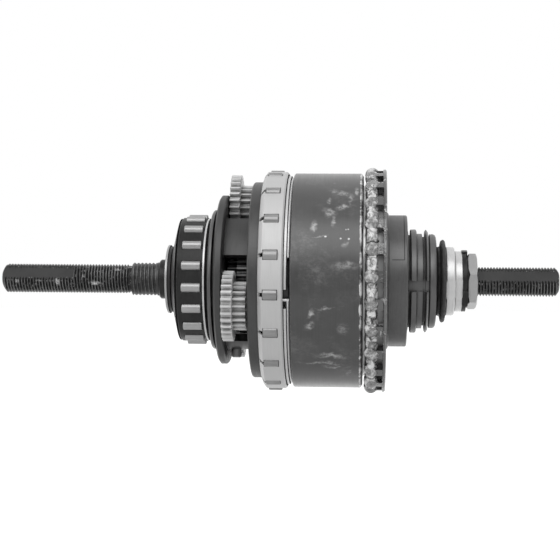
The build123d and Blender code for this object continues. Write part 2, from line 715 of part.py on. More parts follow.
PARTS = {
    "axle": make_axle,
    "left_stop_ring": make_stop_ring,
    "left_thrust_washer": lambda: tube(THRUST_WASHER_X, JOURNAL_R, THRUST_WASHER_R),
    "left_seal": lambda: tube((THRUST_WASHER_X[1], LEFT_SEAL_END), JOURNAL_R, LEFT_SEAL_R),
    "right_cone": make_cone,
    "dust_seal": make_seal,
    "cone_spacer": make_spacer,
    "lock_washer": make_lock_washer,
    "lock_nut": make_lock_nut,
    "return_spring": lambda: coil((27, 41), 6.75, 0.8, 8),
    "shift_sleeve": make_sleeve,
    "planet_carrier": make_carrier,
    "carrier_end_plate": make_end_plate,
    "carrier_screws": make_screws,
    "planet_pins": make_pins,
    "carrier_bush_left": make_left_bush,
    "carrier_bush_right": lambda: tube(END_PLATE_X, SLEEVE_R[1] + 0.05, 9.5),
    "left_clutch_cam": make_left_cam,
    "left_roller_cage": make_left_cage,
    "left_rollers": lambda: rollers(LEFT_ROLLER_X, LEFT_ROLLER_R, LEFT_ROLLER_CIRCLE),
    "left_clutch_cap": make_left_cap,
    "left_retaining_ring": lambda: tube((-23.0, -22.4), 17.0, 20.2),
    "guard_plate": make_guard_plate,
    "carrier_stop_pin": make_stop_pin,
    "ring_gear_2": make_ring_gear_2,
    "roller_cage": make_main_cage,
    "clutch_rollers": lambda: rollers(MAIN_ROLLER_X, MAIN_ROLLER_R, MAIN_ROLLER_CIRCLE),
    "cage_snap_ring": make_snap_ring,
    "cage_spring": make_cage_spring,
    "drum": make_drum,
    "ring_gear_1": make_ring_gear_1,
    "thrust_ring": lambda: tube(THRUST_RING_X, 30.6, DRUM_BORE),
    "bearing_race": make_race,
    "ball_retainer": make_retainer,
    "bearing_balls": lambda: balls(BALL_X, BALL_CIRCLE, BALL_R, BALLS, BALL_START),
    "driver": make_driver,
    "driver_bush": lambda: tube((20.4, 23.4), SLEEVE_R[1] + 0.05, DRIVER_BORE),
    "driver_dust_cap": make_dust_cap,
    "clutch_ring": make_clutch_ring,
    "clutch_spring": lambda: coil((21.95, 24.55), 13.4, 0.6, 3),
    "cone_ball_retainer": make_cone_retainer,
    "cone_balls": lambda: balls(CONE_BALL_X, CONE_BALL_CIRCLE, CONE_BALL_R, CONE_BALLS, 0),
}
for sun_name in SUNS:
    PARTS[sun_name] = lambda n=sun_name: make_sun(n)
    PARTS[sun_name.replace("gear", "pawl")] = lambda n=sun_name: make_sun_pawl(n)
for number, planet_angle in enumerate(PLANET_ANGLES, 1):
    PARTS[f"planet_cluster_{number}"] = lambda a=planet_angle: stepped_planet(CLUSTER, a)
    PARTS[f"input_planet_{number}"] = lambda a=planet_angle: stepped_planet(INPUT_PLANET, a)
for number, pawl_angle in enumerate(DRIVER_PAWL_ANGLES, 1):
    PARTS[f"driver_pawl_{number}"] = lambda a=pawl_angle: pawl(
        DRIVER_PAWL, DRIVER_PAWL_X, a, -1, DRIVER_PAWL["raised"])


def solids_of(made):
    """Every solid in what a part function returned, as one compound."""
    pieces = made if isinstance(made, (list, tuple)) else [made]
    return Compound(children=[solid for piece in pieces for solid in piece.solids()])


os.makedirs("parts", exist_ok=True)
for name, make in PARTS.items():
    export_step(solids_of(make()), f"parts/{name}.step")
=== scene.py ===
import json
from math import atan2, cos, floor, hypot, pi, radians, sin, sqrt

import bmesh
import bpy
from mathutils import Euler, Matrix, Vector, noise


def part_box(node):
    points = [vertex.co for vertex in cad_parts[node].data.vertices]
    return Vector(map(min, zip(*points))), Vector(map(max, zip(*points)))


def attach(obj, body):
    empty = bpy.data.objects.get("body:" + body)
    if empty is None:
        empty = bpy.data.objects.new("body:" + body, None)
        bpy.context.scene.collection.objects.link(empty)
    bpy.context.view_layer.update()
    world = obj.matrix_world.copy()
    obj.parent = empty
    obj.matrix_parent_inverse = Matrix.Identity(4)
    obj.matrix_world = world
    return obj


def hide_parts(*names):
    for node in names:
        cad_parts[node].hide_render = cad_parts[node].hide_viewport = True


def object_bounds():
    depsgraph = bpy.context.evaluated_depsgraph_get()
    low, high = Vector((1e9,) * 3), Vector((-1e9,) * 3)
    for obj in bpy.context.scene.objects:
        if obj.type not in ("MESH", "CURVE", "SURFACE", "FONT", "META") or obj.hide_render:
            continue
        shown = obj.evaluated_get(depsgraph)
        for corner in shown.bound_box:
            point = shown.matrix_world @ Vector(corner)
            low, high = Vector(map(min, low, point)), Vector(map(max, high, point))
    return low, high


# The looks of the bicycle hub gear. Metres, in the CAD frame: +X along the axle, +Z up.

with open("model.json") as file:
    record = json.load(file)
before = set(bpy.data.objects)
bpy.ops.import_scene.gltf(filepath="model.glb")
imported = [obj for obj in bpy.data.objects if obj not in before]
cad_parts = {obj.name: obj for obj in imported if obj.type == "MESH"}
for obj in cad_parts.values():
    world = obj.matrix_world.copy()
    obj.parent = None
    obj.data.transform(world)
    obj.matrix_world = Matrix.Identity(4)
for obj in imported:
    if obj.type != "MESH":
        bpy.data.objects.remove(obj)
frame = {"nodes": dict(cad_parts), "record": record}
cad_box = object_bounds()
MM = 0.001

# Camera
VIEW_DISTANCE = 0.472
VIEW_X = 0.0298  # the lens stands this far towards the drive side
FOCAL = 91.7
SENSOR = 36.0
ROLL = -0.46
YAW = 3.53  # and is turned back to the middle of the object

# Room
FLOOR_DROP = 0.10
FLOOR_RADIUS = 6.0
FLOOR_GLOW = 0.62  # seen by the camera, and from under the back of the object
ROOM_FRONT = 0.50  # the room's brightness behind the camera
ROOM_BACK = 0.92

# Threads on the axle: major radius, pitch and depth
FINE_THREAD = (4.7625 * MM, 0.977 * MM, 0.54 * MM)
COARSE_THREAD = (5.4 * MM, 1.25 * MM, 0.36 * MM)
LEFT_FLAT_END = -67.6 * MM
COARSE_SPAN = (-48.3 * MM, -40.0 * MM)
RUNOUT = -49.9 * MM  # the fine thread fades from here into an undercut
GROOVE_START = -39.2 * MM
RIGHT_JOIN = 60.0 * MM
# How long each rounded tip is, and the radius of its end
TIPS = {-1: (1.4 * MM, 2.7 * MM), 1: (1.2 * MM, 3.2 * MM)}
COLLAR_RADIUS = 5.5 * MM  # the plain stretch beside the coarse thread
AROUND, STEP = 96, 0.085 * MM  # how finely the threads are meshed

# Oval marks on the side that faces -Y: x, z, half length, half width, lean in degrees, strength
DRUM_SMEARS = (
    (21.6, 27.2, 3.6, 0.8, 16, 0.9),
    (26.0, 28.2, 0.6, 1.7, -12, 1.0),
    (22.3, 23.1, 3.0, 0.6, -4, 0.8),
    (24.3, 24.9, 0.6, 1.9, 8, 0.7),
    (17.9, 21.3, 1.9, 1.4, 12, 1.0),
    (18.8, 18.4, 0.5, 2.1, -6, 0.8),
    (17.4, 25.1, 1.0, 0.8, -30, 0.7),
    (12.6, 16.8, 1.0, 1.8, 16, 0.8),
    (14.8, 13.6, 2.6, 0.3, -10, 0.5),
    (22.7, 10.9, 1.1, 1.0, 0, 0.5),
    (22.6, 4.2, 3.6, 1.2, 0, 0.7),
    (16.8, -8.7, 2.4, 0.45, -12, 0.8),
    (12.5, -10.6, 1.7, 0.6, -50, 1.0),
    (11.6, -14.4, 1.8, 1.0, -40, 0.8),
    (22.2, -14.8, 1.8, 1.6, 0, 0.4),
    (18.4, -23.7, 5.0, 0.8, 4, 0.8),
    (15.8, -26.2, 6.6, 0.45, 0, 0.8),
    (19.5, -27.4, 4.0, 0.4, -2, 0.6),
    (24.2, -29.4, 0.6, 1.3, 30, 0.7),
)
DRUM_SPECKS = (
    (16.6, 13.5, 0.55, 0.36, 0, 1.6),
    (21.3, 12.9, 0.42, 0.36, 0, 1.6),
    (23.8, 12.8, 0.46, 0.42, 0, 1.6),
    (23.6, 15.8, 0.4, 0.3, 0, 0.8),
    (22.9, 15.7, 0.35, 0.3, 0, 0.8),
    (18.9, 31.0, 1.2, 0.5, 0, 1.2),
)
SMEAR_SPREAD = (1.45, 1.5)  # how much longer and wider the smears are drawn, with ragged edges
THREAD_DIRT = (
    (-86.6, -1.0, 1.3, 0.9, 0, 0.8),
    (-79.3, -0.9, 1.8, 0.6, 0, 0.5),
    (-73.2, -1.2, 1.3, 1.7, 0, 1.0),
    (-60.4, -1.6, 3.2, 0.9, 8, 1.0),
    (-64.3, 0.6, 0.7, 1.0, 30, 0.6),
    (-53.0, 3.1, 2.0, 0.7, 0, 0.8),
)

# Bevel widths in millimetres, and the CAD nodes whose edges get them
BEVELS = {
    0.30: ("left_rollers", "clutch_rollers"),
    0.15: ("planet_carrier", "guard_plate", "ring_gear_2", "drum", "driver", "driver_dust_cap", "lock_nut",
           "lock_washer", "carrier_stop_pin", "left_roller_cage"),
    0.10: ("planet_cluster_1", "planet_cluster_2", "planet_cluster_3", "left_clutch_cam", "left_clutch_cap",
           "cone_spacer", "right_cone", "ball_retainer", "bearing_race", "carrier_end_plate"),
    0.07: ("sun_gear_2", "sun_gear_3", "sun_gear_4", "roller_cage", "left_thrust_washer", "thrust_ring",
           "left_stop_ring", "cage_snap_ring"),
}

SLOT_OF = {part["node"]: part["material_slot"] for part in frame["record"]["subparts"]}
BODY_OF = {node: body for body, nodes in frame["record"]["behaviour"]["bodies"].items() for node in nodes}


def axle_flat():
    """The distance and the angle of the axle's flats, from their mount."""
    mounts = {mount["name"]: mount["pos_m"] for mount in frame["record"]["mounts"]}
    _, y, z = mounts["axle_flat_left"]
    return hypot(y, z), atan2(z, y)


FLAT_DISTANCE, FLAT_ANGLE = axle_flat()


# ---- shader graphs

class Shader:
    """A material's node graph, with short calls for the nodes that are used here."""

    def __init__(self, name):
        self.material = bpy.data.materials.new(name)
        self.material.use_nodes = True
        self.tree = self.material.node_tree
        self.surface = self.tree.nodes["Principled BSDF"]

    def node(self, kind, inputs=None, **settings):
        made = self.tree.nodes.new(kind)
        for name, value in settings.items():
            setattr(made, name, value)
        for socket, value in (inputs or {}).items():
            self.feed(made.inputs[socket], value)
        return made

    def feed(self, socket, value):
        if isinstance(value, bpy.types.NodeSocket):
            self.tree.links.new(value, socket)
        else:
            socket.default_value = value

    def math(self, operation, a, b=0.0):
        return self.node("ShaderNodeMath", {0: a, 1: b}, operation=operation).outputs[0]

    def place(self):
        return self.node("ShaderNodeTexCoord").outputs["Object"]

    def scaled(self, vector, scale):
        return self.node("ShaderNodeVectorMath", {0: vector, 1: scale}, operation="MULTIPLY").outputs[0]

    def noise(self, vector, scale, detail=3.0, roughness=0.55, distortion=0.0):
        inputs = {"Vector": vector, "Scale": scale, "Detail": detail, "Roughness": roughness,
                  "Distortion": distortion}
        return self.node("ShaderNodeTexNoise", inputs).outputs[0]

    def ramp(self, value, low, high, start=0.0, end=1.0):
        """value, from low to high, as a smooth step from start to end."""
        inputs = {"Value": value, "From Min": low, "From Max": high, "To Min": start, "To Max": end}
        return self.node("ShaderNodeMapRange", inputs, interpolation_type="SMOOTHSTEP").outputs[0]

    def mix(self, factor, a, b):
        made = self.node("ShaderNodeMix", data_type="RGBA")
        self.feed(made.inputs[0], factor)
        self.feed(made.inputs[6], a)
        self.feed(made.inputs[7], b)
        return made.outputs[2]

    def split(self, vector):
        return self.node("ShaderNodeSeparateXYZ", {0: vector}).outputs

    def warped(self, vector, scale, amount):
        """vector, pushed about by a noise."""
        push = self.node("ShaderNodeTexNoise", {"Vector": vector, "Scale": scale, "Detail": 3.0}).outputs[1]
        centred = self.node("ShaderNodeVectorMath", {0: push, 1: (0.5, 0.5, 0.5)}, operation="SUBTRACT")
        push = self.scaled(centred.outputs[0], (amount, amount, amount))
        return self.node("ShaderNodeVectorMath", {0: vector, 1: push}, operation="ADD").outputs[0]

    def blot(self, vector, centre, size, lean):
        """1 in the middle of an oval patch, and 0 outside it."""
        inputs = {"Vector": vector, "Location": centre, "Rotation": (0.0, radians(lean), 0.0), "Scale": size}
        local = self.node("ShaderNodeMapping", inputs, vector_type="TEXTURE").outputs[0]
        far = self.node("ShaderNodeVectorMath", {0: local}, operation="LENGTH").outputs["Value"]
        return self.ramp(far, 1.0, 0.0)

    def bump(self, height, depth, normal=None):
        inputs = {"Height": height, "Distance": depth, "Strength": 1.0}
        if normal is not None:
            inputs["Normal"] = normal
        return self.node("ShaderNodeBump", inputs).outputs[0]


def grey(level, tint=0.0):
    """A grey, slightly warm if tint is above 0 and slightly blue if it is below."""
    return level * (1 + tint), level, level * (1 - tint), 1.0


def radius_of(shader, split):
    """The distance from the axle's centreline."""
    squares = [shader.math("MULTIPLY", axis, axis) for axis in split[1:3]]
    return shader.math("SQRT", shader.math("ADD", *squares))


def turned_place(shader):
    """Coordinates in which a noise makes lathe marks: along the axle, away from it, and slowly round it."""
    split = shader.split(shader.place())
    radius = radius_of(shader, split)
    turn = shader.math("MULTIPLY", shader.math("ARCTAN2", split[2], split[1]), 0.0016)
    return shader.node("ShaderNodeCombineXYZ", {0: split[0], 1: radius, 2: turn}).outputs[0]


def drawn_place(shader):
    """Coordinates in which a noise makes marks along the axle."""
    return shader.scaled(shader.place(), (0.12, 1.0, 1.0))


GRAINS = {"turned": turned_place, "drawn": drawn_place, "plain": Shader.place}


def edge_mask(shader, radius):
    """1 on sharp edges and 0 on open faces."""
    rounded = shader.node("ShaderNodeBevel", {"Radius": radius}, samples=4).outputs[0]
    flat = shader.node("ShaderNodeNewGeometry").outputs["Normal"]
    agree = shader.node("ShaderNodeVectorMath", {0: rounded, 1: flat}, operation="DOT_PRODUCT")
    return shader.ramp(agree.outputs["Value"], 0.995, 0.86)


def occlusion_shade_mask(shader, distance):
    """1 deep in corners, where shade falls, and 0 in the open; colours darkened by it carry painted shade."""
    made = shader.node("ShaderNodeAmbientOcclusion", {"Distance": distance}, samples=6)
    return shader.ramp(made.outputs["AO"], 0.75, 0.2)


def worked_surface(name, tone, shade, metallic, roughness, grain="turned", grain_scale=2600.0,
                   grain_depth=0.000012, worn=0.0, worn_tone=0.5, grime_and_shade=0.0, grime_and_shade_tone=0.012,
                   edge=0.00025, tint=0.0, smears=None, scores=None, coat=0.0):
    """A machined, moulded or blackened surface: uneven tone, tool marks, worn edges, and corners darkened
    with painted shade and some grime.
    """
    shader = Shader(name)
    place = shader.place()
    marks = shader.noise(GRAINS[grain](shader), grain_scale, 4.0, 0.6)
    cloud = shader.noise(place, 90.0, 4.0, 0.6)
    speck = shader.noise(place, 1400.0, 2.0, 0.7)
    blend = shader.math("ADD", shader.math("MULTIPLY", cloud, 0.6), shader.math("MULTIPLY", marks, 0.4))
    colour = shader.mix(shader.ramp(blend, 0.32, 0.66), grey(shade, tint), grey(tone, tint))
    rough = shader.math("ADD", shader.ramp(marks, 0.3, 0.7, -0.06, 0.06),
                        shader.ramp(cloud, 0.3, 0.7, roughness[0], roughness[1]))
    if smears:
        mask = smears(shader)
        colour = shader.mix(mask, colour, grey(0.78))
        rough = shader.math("ADD", rough, shader.math("MULTIPLY", mask, 0.1))
        metallic = shader.ramp(mask, 0.0, 1.0, metallic, 0.0)
    if scores:
        colour = shader.mix(scores(shader), colour, grey(0.015))
    if worn:
        mask = shader.math("MULTIPLY", edge_mask(shader, edge), shader.ramp(speck, 0.25, 0.6, 0.3, worn))
        colour = shader.mix(mask, colour, grey(worn_tone, tint))
    # Corners darkened by ambient occlusion: painted shade, with some grime that also roughens them.
    if grime_and_shade:
        mask = shader.math("MULTIPLY", occlusion_shade_mask(shader, 0.0022), grime_and_shade)
        colour = shader.mix(mask, colour, grey(grime_and_shade_tone, 0.04))
        rough = shader.math("ADD", rough, shader.math("MULTIPLY", mask, 0.25))
    rounded = shader.node("ShaderNodeBevel", {"Radius": edge}, samples=4).outputs[0]
    normal = shader.bump(marks, grain_depth, normal=rounded)
    normal = shader.bump(speck, grain_depth * 0.6, normal=normal)
    shader.feed(shader.surface.inputs["Base Color"], colour)
    shader.feed(shader.surface.inputs["Metallic"], metallic)
    shader.feed(shader.surface.inputs["Roughness"], rough)
    shader.feed(shader.surface.inputs["Normal"], normal)
    if coat:
        shader.feed(shader.surface.inputs["Coat Weight"], coat)
        shader.feed(shader.surface.inputs["Coat Roughness"], 0.3)
    return shader.material


def patches(shader, place, spots, near_y, depth):
    """How strongly each of the oval patches on the side that faces -Y shows."""
    total = 0.0
    for x, z, length, width, lean, strength in spots:
        spot = shader.blot(place, (x * MM, near_y, z * MM), (length * MM, depth, width * MM), lean)
        total = shader.math("MAXIMUM", total, shader.math("MULTIPLY", spot, strength))
    return total


def drum_smears(shader):
    """Wiped grease: hazy curved streaks, a few specks and a broken line at the bearing's end."""
    place = shader.place()
    warped = shader.warped(shader.warped(place, 160.0, 0.0030), 700.0, 0.0016)
    along = shader.split(place)[0]
    hairs = shader.noise(shader.scaled(warped, (0.3, 1.0, 1.0)), 1700.0, 5.0, 0.75)
    cloud = shader.noise(place, 620.0, 5.0, 0.75)
    thin = shader.ramp(shader.math("ADD", hairs, cloud), 0.82, 1.20, 0.10, 1.0)
    longer, wider = SMEAR_SPREAD
    spots = [(x, z, longer * length, wider * width, lean, strength)
             for x, z, length, width, lean, strength in DRUM_SMEARS]
    wiped = shader.math("MULTIPLY", patches(shader, warped, spots, -30 * MM, 30 * MM), 0.66)
    haze = shader.ramp(shader.noise(warped, 75.0, 5.0, 0.65), 0.48, 0.78, 0.0, 0.14)
    wiped = shader.math("MULTIPLY", thin, shader.math("ADD", wiped, haze))
    specks = patches(shader, place, DRUM_SPECKS, -33 * MM, 20 * MM)
    broken = shader.noise(place, 260.0, 5.0, 0.75)
    ragged = shader.math("ADD", along, shader.math("MULTIPLY", broken, 1.6 * MM))
    rim = shader.math("MULTIPLY", shader.ramp(ragged, 27.9 * MM, 28.2 * MM), shader.ramp(broken, 0.42, 0.56))
    rim = shader.math("MULTIPLY", rim, shader.ramp(along, 28.0 * MM, 27.7 * MM, 0.25, 1.0))
    return shader.math("MINIMUM", shader.math("ADD", shader.math("ADD", wiped, specks), rim), 0.95)


def race_surface(name):
    """Steel: oily beside the drum, pale and mostly non-metallic behind the ball retainer as painted light
    that lifts the shade seen through its windows, and blackened elsewhere.
    """
    shader = Shader(name)
    place = shader.place()
    near = shader.ramp(shader.split(place)[0], 29.4 * MM, 29.1 * MM)
    marks = shader.noise(turned_place(shader), 2600.0, 4.0, 0.6)
    cloud = shader.noise(place, 110.0, 4.0, 0.6)
    black = shader.mix(shader.ramp(cloud, 0.35, 0.65), grey(0.13), grey(0.19))
    # Behind the ball retainer the steel is made pale and mostly non-metallic: painted light that lifts the
    # shade seen through the retainer's windows.
    behind = shader.ramp(shader.split(place)[0], 34.9 * MM, 34.7 * MM)
    black = shader.mix(behind, black, grey(0.50))
    metal = shader.math("MAXIMUM", near, shader.ramp(behind, 0.0, 1.0, 0.9, 0.2))
    bright = shader.mix(shader.ramp(marks, 0.35, 0.65), grey(0.30), grey(0.44))
    shader.feed(shader.surface.inputs["Base Color"], shader.mix(near, black, bright))
    shader.feed(shader.surface.inputs["Metallic"], metal)
    rough = shader.math("ADD", shader.ramp(near, 0.0, 1.0, 0.36, 0.14),
                        shader.ramp(cloud, 0.3, 0.7, 0.0, 0.08))
    shader.feed(shader.surface.inputs["Roughness"], rough)
    shader.feed(shader.surface.inputs["Normal"], shader.bump(marks, 0.000004))
    return shader.material


def cap_scores(shader):
    """Two fine straight lines scored into the dust cap, which meet at a corner."""
    x, y, z = shader.split(shader.place())
    front = shader.math("LESS_THAN", y, 0.0)
    lines = 0.0
    for across, along, at, low, high in ((z, x, 6.65, 37.4, 41.3), (x, z, 41.3, 6.65, 22.5)):
        away = shader.math("ABSOLUTE", shader.math("SUBTRACT", across, at * MM))
        thin = shader.ramp(away, 0.22 * MM, 0.08 * MM)
        inside = shader.math("MULTIPLY", shader.math("GREATER_THAN", along, low * MM),
                             shader.math("LESS_THAN", along, high * MM))
        lines = shader.math("MAXIMUM", lines, shader.math("MULTIPLY", thin, inside))
    return shader.math("MULTIPLY", shader.math("MULTIPLY", lines, front), 0.75)


def thread_surface(name):
    """Blackened threads: roots darkened with painted shade and flecked with pale dust, rubbed crests, plain
    flats, and pale dirt in a few places.
    """
    shader = Shader(name)
    place = shader.place()
    split = shader.split(place)
    coarse = shader.math("MULTIPLY", shader.math("GREATER_THAN", split[0], COARSE_SPAN[0]),
                         shader.math("LESS_THAN", split[0], COARSE_SPAN[1]))
    step = shader.math("MULTIPLY", coarse, COARSE_THREAD[0] - FINE_THREAD[0])
    under = shader.math("SUBTRACT", shader.math("ADD", step, FINE_THREAD[0]), radius_of(shader, split))
    speck = shader.noise(place, 1300.0, 4.0, 0.7)
    cloud = shader.noise(place, 120.0, 3.0)
    rubbed = shader.math("MULTIPLY", shader.ramp(under, 0.22 * MM, 0.02 * MM),
                         shader.ramp(shader.math("ADD", speck, cloud), 0.75, 1.15, 0.2, 1.0))
    normal = (0.0, cos(FLAT_ANGLE), sin(FLAT_ANGLE))
    out = shader.node("ShaderNodeVectorMath", {0: place, 1: normal}, operation="DOT_PRODUCT")
    out = shader.math("ABSOLUTE", out.outputs["Value"])
    flat = shader.math("GREATER_THAN", out, FLAT_DISTANCE - 0.04 * MM)
    ends = shader.math("MAXIMUM", shader.math("LESS_THAN", split[0], LEFT_FLAT_END),
                       shader.math("GREATER_THAN", split[0], 0.0))
    flat = shader.math("MULTIPLY", flat, ends)
    round_part = shader.math("SUBTRACT", 1.0, flat)
    # The deep part of each thread: darkened below with painted shade, and later given pale dust.
    root = shader.math("MULTIPLY", shader.ramp(under, 0.26 * MM, 0.52 * MM), round_part)
    rubbed = shader.math("MULTIPLY", rubbed, round_part)
    kept = shader.math("SUBTRACT", 1.0, shader.math("MULTIPLY", coarse, 0.45))
    rubbed = shader.math("MULTIPLY", rubbed, kept)
    rubbed = shader.math("MULTIPLY", rubbed, shader.ramp(under, -0.07 * MM, -0.03 * MM))
    colour = shader.mix(shader.ramp(cloud, 0.35, 0.65), grey(0.070), grey(0.100))
    plain = shader.mix(shader.ramp(cloud, 0.35, 0.65), grey(0.042), grey(0.058))
    colour = shader.mix(flat, colour, plain)
    # Painted shade in the thread roots.
    colour = shader.mix(root, colour, grey(0.032))
    colour = shader.mix(rubbed, colour, grey(0.24))
    dirt = patches(shader, shader.warped(place, 420.0, 0.0014), THREAD_DIRT, -4.0 * MM, 3.0 * MM)
    dirt = shader.math("MULTIPLY", dirt, shader.ramp(speck, 0.38, 0.54))
    dust = shader.ramp(shader.noise(place, 700.0, 4.0, 0.7), 0.52, 0.68, 0.0, 0.45)
    dirt = shader.math("MAXIMUM", dirt, shader.math("MULTIPLY", root, dust))
    colour = shader.mix(dirt, colour, grey(0.72))
    shader.feed(shader.surface.inputs["Base Color"], colour)
    shader.feed(shader.surface.inputs["Metallic"], shader.ramp(dirt, 0.0, 0.5, 0.9, 0.0))
    shader.feed(shader.surface.inputs["Roughness"], shader.ramp(cloud, 0.3, 0.7, 0.36, 0.5))
    shader.feed(shader.surface.inputs["Normal"], shader.bump(speck, 0.000012))
    return shader.material


def grease_surface(name):
    """Pale grey grease with air in it and dark metal dust, darkened in its crevices with painted shade."""
    shader = Shader(name)
    place = shader.place()
    lumps = shader.noise(place, 340.0, 5.0, 0.62, 1.2)
    dust = shader.noise(place, 240.0, 5.0, 0.7, 0.8)
    colour = shader.mix(shader.ramp(lumps, 0.38, 0.58), grey(0.20), grey(0.90))
    colour = shader.mix(shader.ramp(dust, 0.54, 0.60), colour, grey(0.035))
    # Painted shade: the grease is darkened in its crevices.
    colour = shader.mix(occlusion_shade_mask(shader, 0.0016), colour, grey(0.06))
    shader.feed(shader.surface.inputs["Base Color"], colour)
    shader.feed(shader.surface.inputs["Roughness"], shader.ramp(lumps, 0.3, 0.7, 0.14, 0.36))
    shader.feed(shader.surface.inputs["Specular IOR Level"], 0.8)
    shader.feed(shader.surface.inputs["Normal"], shader.bump(lumps, 0.0007))
    return shader.material


def greased_metal(name, tone, cover):
    """Steel that shows through a broken film of grease."""
    shader = Shader(name)
    place = shader.place()
    film = shader.ramp(shader.noise(place, 330.0, 5.0, 0.62, 0.7), 0.62 - cover * 0.3, 0.70 - cover * 0.3)
    lumps = shader.noise(place, 600.0, 4.0, 0.6)
    grease = shader.mix(shader.ramp(lumps, 0.35, 0.65), grey(0.20), grey(0.74))
    colour = shader.mix(film, grey(tone), grease)
    shader.feed(shader.surface.inputs["Base Color"], colour)
    shader.feed(shader.surface.inputs["Metallic"], shader.math("SUBTRACT", 1.0, film))
    shader.feed(shader.surface.inputs["Roughness"], shader.ramp(film, 0.0, 1.0, 0.22, 0.4))
    height = shader.math("ADD", film, shader.math("MULTIPLY", lumps, 0.6))
    shader.feed(shader.surface.inputs["Normal"], shader.bump(height, 0.00025))
    return shader.material


# In the materials below, the corner darkening amounts and tones paint shade along with some grime.
MATERIALS = {
    "steel_axle": thread_surface("blackened_thread"),
    "bright_steel": worked_surface("bright_steel", 0.82, 0.66, 1.0, (0.40, 0.54), worn=0.5,
                                   worn_tone=0.9, grime_and_shade=0.6, edge=0.00008),
    "roller_steel": worked_surface("ground_steel", 0.50, 0.42, 1.0, (0.36, 0.48), grain="plain",
                                   worn=0.5, worn_tone=0.62, grime_and_shade=0.7, grime_and_shade_tone=0.04, edge=0.0001),
    "cage_steel": worked_surface("pressed_steel", 0.70, 0.66, 1.0, (0.62, 0.72), grain_depth=0.000004,
                                 worn=0.5, worn_tone=0.95, grime_and_shade=0.6, edge=0.0001),
    "carrier_steel": worked_surface("carrier_steel", 0.115, 0.08, 1.0, (0.42, 0.54), worn=0.8,
                                    grain_depth=0.000004, worn_tone=0.34, grime_and_shade=0.8, edge=0.00015),
    "gear_steel": worked_surface("gear_steel", 0.76, 0.62, 0.9, (0.54, 0.68), grain="drawn", worn=0.8,
                                 worn_tone=0.85, grime_and_shade=0.6, grime_and_shade_tone=0.10, edge=0.0002),
    "sun_steel": worked_surface("sun_gear_steel", 0.30, 0.22, 1.0, (0.34, 0.48), grain="drawn",
                                worn=0.5, worn_tone=0.32, grime_and_shade=0.9, edge=0.00012),
    "dark_steel": worked_surface("blackened_steel", 0.18, 0.125, 0.9, (0.32, 0.46), worn=0.8,
                                 worn_tone=0.30, grime_and_shade=0.8, edge=0.00012),
    "black_steel": worked_surface("black_oxide", 0.115, 0.085, 0.9, (0.36, 0.48), worn=0.8,
                                  grain_depth=0.000004, worn_tone=0.35, grime_and_shade=0.7, edge=0.00015),
    "spring_steel": worked_surface("spring_wire", 0.30, 0.20, 1.0, (0.28, 0.42), grain="plain",
                                   worn=0.4, grime_and_shade=0.6, edge=0.00006),
    "greased_steel": greased_metal("greased_retainer", 0.19, 0.20),
    "greased_balls": greased_metal("greased_balls", 0.38, 0.60),
    "black_plastic": worked_surface("black_plastic", 0.026, 0.018, 0.0, (0.38, 0.54), grain="plain",
                                    grain_scale=1800.0, worn=0.5, worn_tone=0.10, grime_and_shade=0.5),
    "dark_seal": worked_surface("black_rubber", 0.035, 0.02, 0.0, (0.42, 0.6), grain="plain",
                                grain_scale=1500.0, grain_depth=0.00003, worn=0.4, worn_tone=0.12),
    "bronze": worked_surface("bronze", 0.34, 0.24, 1.0, (0.3, 0.42), tint=0.32, grime_and_shade=0.6),
}
NUT = worked_surface("nut_steel", 0.52, 0.42, 1.0, (0.34, 0.46), grain="plain", worn=0.8, worn_tone=0.8,
                     grime_and_shade=0.5, edge=0.00012)
DRUM = worked_surface("greasy_drum", 0.096, 0.072, 0.9, (0.40, 0.50), grain_depth=0.0000025, worn=1.0,
                      worn_tone=0.5, grime_and_shade=0.6, edge=0.00015, smears=drum_smears, coat=0.9)
RACE = race_surface("bearing_race_steel")
CAP = worked_surface("dust_cap_steel", 0.17, 0.12, 0.9, (0.34, 0.46), worn=0.8, worn_tone=0.30, grime_and_shade=0.8,
                     edge=0.00012, scores=cap_scores)
RING_STEEL = worked_surface("black_ring_steel", 0.05, 0.03, 0.9, (0.34, 0.46), worn=0.8, worn_tone=0.30,
                             grime_and_shade=0.8, edge=0.00012)
WASHER = worked_surface("thrust_washer_steel", 0.55, 0.44, 1.0, (0.36, 0.48), worn=0.6, worn_tone=0.7,
                        grime_and_shade=0.8, edge=0.00008)
CAGE_WIRE = worked_surface("cage_wire_steel", 0.92, 0.84, 0.7, (0.34, 0.46), grain="plain", worn=0.3,
                           worn_tone=0.9, edge=0.00006)
# The stop pin's pale, nearly non-metallic tone lifts the shade that falls on it: painted light.
STOP_PIN = worked_surface("stop_pin_steel", 0.55, 0.36, 0.1, (0.4, 0.52), worn=0.8, worn_tone=0.45,
                          grime_and_shade=0.3, edge=0.00015)
CLUTCH_ROLLERS = worked_surface("clutch_roller_steel", 0.42, 0.30, 1.0, (0.34, 0.46), grain="drawn", worn=0.5,
                                worn_tone=0.70, grime_and_shade=1.0, grime_and_shade_tone=0.03, edge=0.0002)
GREASE = grease_surface("bearing_grease")
# The nodes whose surface differs from what their slot's other nodes have
OWN_MATERIALS = {
    "drum": DRUM, "lock_nut": NUT, "bearing_race": RACE, "clutch_rollers": CLUTCH_ROLLERS,
    "left_thrust_washer": WASHER, "driver_dust_cap": CAP, "lock_washer": RING_STEEL,
    "left_stop_ring": RING_STEEL, "left_roller_cage": RING_STEEL, "cage_spring": CAGE_WIRE,
    "carrier_stop_pin": STOP_PIN,
}


def material_of(node):
    return OWN_MATERIALS.get(node, MATERIALS[SLOT_OF[node]])


def dress_frame():
    """Gives every CAD node the material of its slot."""
    for name, node in frame["nodes"].items():
        for slot in node.material_slots:
            slot.material = material_of(name)


# ---- meshes

